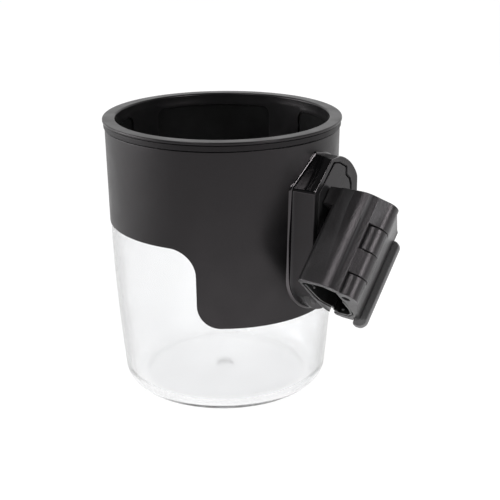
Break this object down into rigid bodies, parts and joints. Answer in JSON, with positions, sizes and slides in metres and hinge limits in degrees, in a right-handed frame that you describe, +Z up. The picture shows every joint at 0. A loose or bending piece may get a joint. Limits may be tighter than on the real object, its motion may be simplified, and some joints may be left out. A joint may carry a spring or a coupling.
{
  "type": "clip-on cup holder",
  "caption": "Clear cup in a black sleeve with a soft lined rim, and a swivelling, hinged tube clip whose tongue slides up into a receiver on the sleeve.",
  "frame": {"origin": "centre of the cup's flat underside", "axes": "+Z up along the cup's axis; +X from the cup's axis to the clip; +Y completes a right-handed frame"},
  "size_m": [0.1342, 0.1, 0.1172],
  "materials": {
    "clear_plastic": "clear, polished, slightly milky at the base",
    "sleeve_plastic": "black, very fine moulded grain",
    "rim_plastic": "black, satin",
    "trim_plastic": "dark grey, satin",
    "soft_rubber": "black, dull",
    "housing_plastic": "black, satin sides and glossy bevels",
    "clip_plastic": "black, spark-textured satin",
    "tab_plastic": "dark grey, textured",
    "zinc_steel": "zinc plated",
    "spring_steel": "plain spring steel"
  },
  "bodies": {
    "cup": {"clear_cup": "clear_plastic", "outer_sleeve": "sleeve_plastic", "grip_liner": "rim_plastic", "trim_ring": "trim_plastic", "grip_pad_1": "soft_rubber", "grip_pad_2": "soft_rubber", "grip_pad_3": "soft_rubber", "grip_pad_4": "soft_rubber", "mount_saddle": "sleeve_plastic", "receiver_housing": "housing_plastic", "receiver_screw_1": "zinc_steel", "receiver_screw_2": "zinc_steel", "receiver_screw_3": "zinc_steel", "receiver_screw_4": "zinc_steel"},
    "tongue": {"tongue_plate": "housing_plastic", "swivel_nut": "zinc_steel", "swivel_washer": "spring_steel"},
    "clip": {"clip_body": "clip_plastic", "swivel_bolt": "zinc_steel", "hinge_pin": "zinc_steel", "body_pad": "soft_rubber", "jaw_spring": "spring_steel"},
    "jaw": {"clip_jaw": "clip_plastic", "jaw_pad": "soft_rubber", "pull_tab": "tab_plastic", "tab_screw_1": "zinc_steel", "tab_screw_2": "zinc_steel"}
  },
  "joints": [
    {"name": "tongue_slide", "type": "slide", "parent": "cup", "child": "tongue", "axis": [0, 0, -1], "range_m": [0, 0.063]},
    {"name": "clip_swivel", "type": "hinge", "parent": "tongue", "child": "clip", "pos_m": [0.057, 0, 0.0876], "axis": [1, 0, 0], "range_deg": [-46.5, 43.5]},
    {"name": "jaw_hinge", "type": "hinge", "parent": "clip", "child": "jaw", "pos_m": [0.0793, -0.01189, 0.07624], "axis": [0, -0.6884, -0.7254], "range_deg": [0, 75], "stiffness_Nm_per_rad": 0.08, "springref_deg": -34.38}
  ]
}
